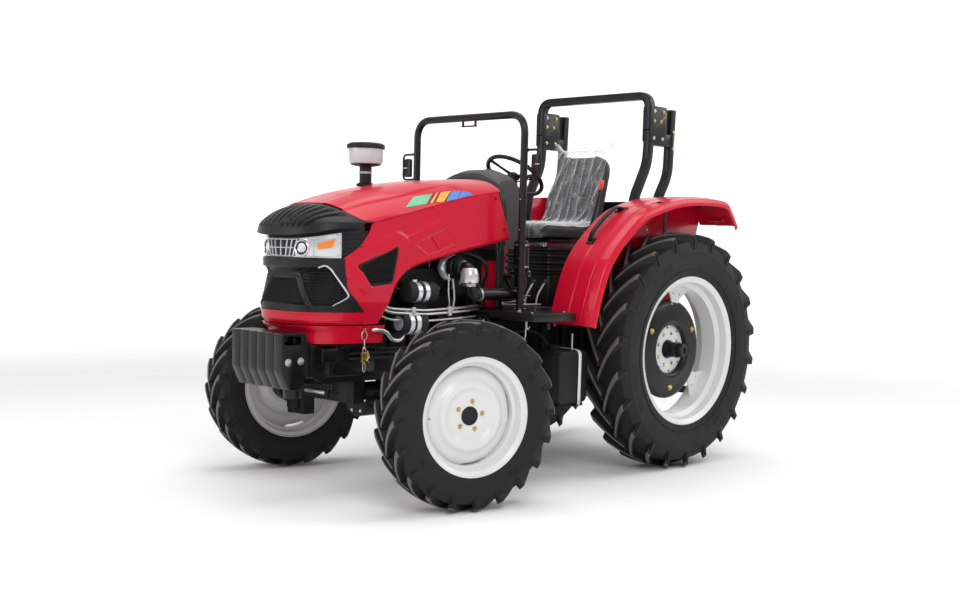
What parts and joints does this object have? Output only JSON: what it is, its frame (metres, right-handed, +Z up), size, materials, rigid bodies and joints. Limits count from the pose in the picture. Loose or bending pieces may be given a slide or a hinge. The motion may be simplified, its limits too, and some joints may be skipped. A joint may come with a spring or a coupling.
{
  "type": "farm tractor",
  "caption": "Open-station four-wheel-drive farm tractor with a tilting hood, front weights, folding roll bar, mudguards and a rear three-point linkage.",
  "frame": {"origin": "on the ground, at the middle of the machine's length and width", "axes": "+X forwards, +Y to the driver's left, +Z up"},
  "size_m": [3.6992, 2.1234, 2.4546],
  "materials": {
    "red_paint": "gloss",
    "black_paint": "satin",
    "black_plastic": "matte",
    "grey_plastic": "matte",
    "white_paint": "gloss",
    "tyre_rubber": "matte",
    "cast_iron": "painted",
    "lamp_chrome": "gloss",
    "seat_vinyl": "satin",
    "clear_plastic": "gloss"
  },
  "bodies": {
    "chassis": {"battery_box": "black_plastic", "cowl": "grey_plastic", "dash_pedestal": "black_plastic", "drawbar": "cast_iron", "driveshaft_guard": "black_paint", "engine": "cast_iron", "exhaust": "black_paint", "fender_left": "red_paint", "fender_right": "red_paint", "front_axle": "cast_iron", "front_hoop": "black_paint", "front_support": "black_paint", "front_weights": "black_paint", "fuel_tank": "black_plastic", "hand_lever": "black_paint", "link_shaft": "cast_iron", "mirror_left": "black_paint", "mirror_right": "black_paint", "platform": "black_paint", "radiator": "black_plastic", "rops_frame": "black_paint", "seat_back": "seat_vinyl", "seat_base": "black_plastic", "seat_cushion": "seat_vinyl", "steering_column": "black_plastic", "tank_bracket_left": "black_paint", "tank_bracket_right": "black_paint", "transmission": "cast_iron", "valance": "red_paint"},
    "hood": {"hood_top": "red_paint", "hood_side_left": "red_paint", "hood_side_right": "red_paint", "hood_lip": "red_paint", "nose_cap": "black_plastic", "nose_mask": "black_plastic", "lamp_bar": "lamp_chrome", "precleaner": "clear_plastic"},
    "knuckle_left_body": {"knuckle_left": "cast_iron"},
    "knuckle_right_body": {"knuckle_right": "cast_iron"},
    "tie_rod_body": {"tie_rod": "cast_iron"},
    "front_wheel_left_body": {"front_wheel_left": "white_paint", "front_tyre_left": "tyre_rubber"},
    "front_wheel_right_body": {"front_wheel_right": "white_paint", "front_tyre_right": "tyre_rubber"},
    "rear_wheel_left_body": {"rear_tyre_left": "tyre_rubber", "rear_rim_left": "white_paint", "rear_disc_left": "black_paint"},
    "rear_wheel_right_body": {"rear_tyre_right": "tyre_rubber", "rear_rim_right": "white_paint", "rear_disc_right": "black_paint"},
    "steering_wheel_body": {"steering_wheel": "black_plastic"},
    "rops_hoop_body": {"rops_hoop": "black_paint"},
    "lift_arms_body": {"lift_arms": "cast_iron"},
    "lift_rod_left_body": {"lift_rod_left": "cast_iron"},
    "lift_rod_right_body": {"lift_rod_right": "cast_iron"},
    "lower_link_left_body": {"lower_link_left": "cast_iron"},
    "lower_link_right_body": {"lower_link_right": "cast_iron"},
    "top_link_body": {"top_link": "cast_iron"}
  },
  "joints": [
    {"name": "rear_wheel_left_spin", "type": "hinge", "parent": "chassis", "child": "rear_wheel_left_body", "pos_m": [-0.96, 0.685, 0.77], "axis": [0, 1, 0], "continuous": true},
    {"name": "rear_wheel_right_spin", "type": "hinge", "parent": "chassis", "child": "rear_wheel_right_body", "pos_m": [-0.96, -0.685, 0.77], "axis": [0, 1, 0], "continuous": true},
    {"name": "steer_left", "type": "hinge", "parent": "chassis", "child": "knuckle_left_body", "pos_m": [1.05, 0.705, 0.515], "axis": [0, 0, 1], "range_deg": [-24.5, 51.5]},
    {"name": "steer_right", "type": "hinge", "parent": "chassis", "child": "knuckle_right_body", "pos_m": [1.05, -0.705, 0.515], "axis": [0, 0, 1], "range_deg": [-24.5, 51.5]},
    {"name": "tie_rod_pivot", "type": "hinge", "parent": "knuckle_left_body", "child": "tie_rod_body", "pos_m": [0.89442, 0.74235, 0.46], "axis": [0, 0, 1], "range_deg": [-51.5, 24.5]},
    {"name": "front_wheel_left_spin", "type": "hinge", "parent": "knuckle_left_body", "child": "front_wheel_left_body", "pos_m": [1.08268, 0.84113, 0.515], "axis": [0.2334, 0.9724, 0], "continuous": true},
    {"name": "front_wheel_right_spin", "type": "hinge", "parent": "knuckle_right_body", "child": "front_wheel_right_body", "pos_m": [1.01732, -0.84113, 0.515], "axis": [0.2334, 0.9724, 0], "continuous": true},
    {"name": "steering_wheel_turn", "type": "hinge", "parent": "chassis", "child": "steering_wheel_body", "pos_m": [-0.13, 0, 1.87], "axis": [-0.5878, 0, 0.809], "range_deg": [-294, 618]},
    {"name": "hood_open", "type": "hinge", "parent": "chassis", "child": "hood", "pos_m": [0.35, 0, 1.79], "axis": [0, -1, 0], "range_deg": [0, 50]},
    {"name": "rops_fold", "type": "hinge", "parent": "chassis", "child": "rops_hoop_body", "pos_m": [-1.005, 0, 2.325], "axis": [0, -1, 0], "range_deg": [0, 90]},
    {"name": "lift", "type": "hinge", "parent": "chassis", "child": "lift_arms_body", "pos_m": [-1.13, 0, 1], "axis": [0, 1, 0], "range_deg": [-4, 44]},
    {"name": "lower_link_left_swing", "type": "hinge", "parent": "chassis", "child": "lower_link_left_body", "pos_m": [-1.09, 0.289, 0.5], "axis": [0, 1, 0], "range_deg": [-4, 44]},
    {"name": "lower_link_right_swing", "type": "hinge", "parent": "chassis", "child": "lower_link_right_body", "pos_m": [-1.09, -0.289, 0.5], "axis": [0, 1, 0], "range_deg": [-4, 44]},
    {"name": "lift_rod_left_pivot", "type": "hinge", "parent": "lift_arms_body", "child": "lift_rod_left_body", "pos_m": [-1.46669, 0.2614, 0.95268], "axis": [0, 1, 0], "range_deg": [-44, 4]},
    {"name": "lift_rod_right_pivot", "type": "hinge", "parent": "lift_arms_body", "child": "lift_rod_right_body", "pos_m": [-1.46669, -0.2614, 0.95268], "axis": [0, 1, 0], "range_deg": [-44, 4]},
    {"name": "top_link_swing", "type": "hinge", "parent": "chassis", "child": "top_link_body", "pos_m": [-1.285, 0, 0.92], "axis": [0, -1, 0], "range_deg": [0, 100]}
  ],
  "couplings": [
    {"joint": "steer_right", "follows": "steer_left", "ratio": 1},
    {"joint": "tie_rod_pivot", "follows": "steer_left", "ratio": -1},
    {"joint": "steering_wheel_turn", "follows": "steer_left", "ratio": 12},
    {"joint": "lower_link_left_swing", "follows": "lift", "ratio": 1},
    {"joint": "lower_link_right_swing", "follows": "lift", "ratio": 1},
    {"joint": "lift_rod_left_pivot", "follows": "lift", "ratio": -1},
    {"joint": "lift_rod_right_pivot", "follows": "lift", "ratio": -1}
  ]
}
